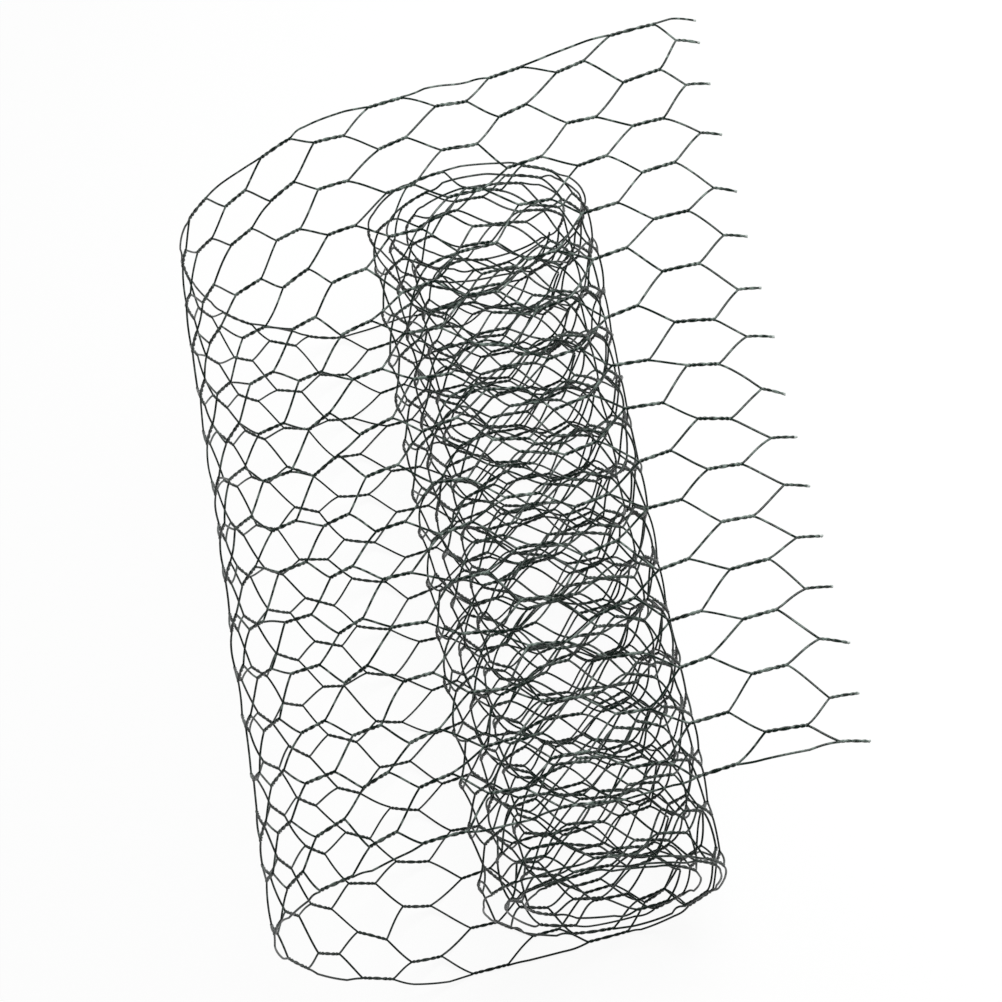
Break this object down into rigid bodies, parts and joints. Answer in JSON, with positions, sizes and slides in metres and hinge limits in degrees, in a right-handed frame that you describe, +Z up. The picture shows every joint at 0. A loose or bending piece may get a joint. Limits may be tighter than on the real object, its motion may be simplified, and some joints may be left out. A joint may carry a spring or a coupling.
{
  "type": "roll of hexagonal wire netting",
  "caption": "Short roll of dark green plastic-coated hexagonal wire netting, lying on its side with its last turn sprung open beside and over the wound turns.",
  "frame": {"origin": "on the surface that the roll lies on, under the middle of its outline", "axes": "+Z up, +Y along the axis of the wound turns, +X from the bend of the loose turn towards its cut end"},
  "size_m": [0.3288, 0.4, 0.2245],
  "materials": {
    "coated_wire": "glossy"
  },
  "bodies": {
    "root": {"netting_roll": "coated_wire"}
  },
  "joints": []
}
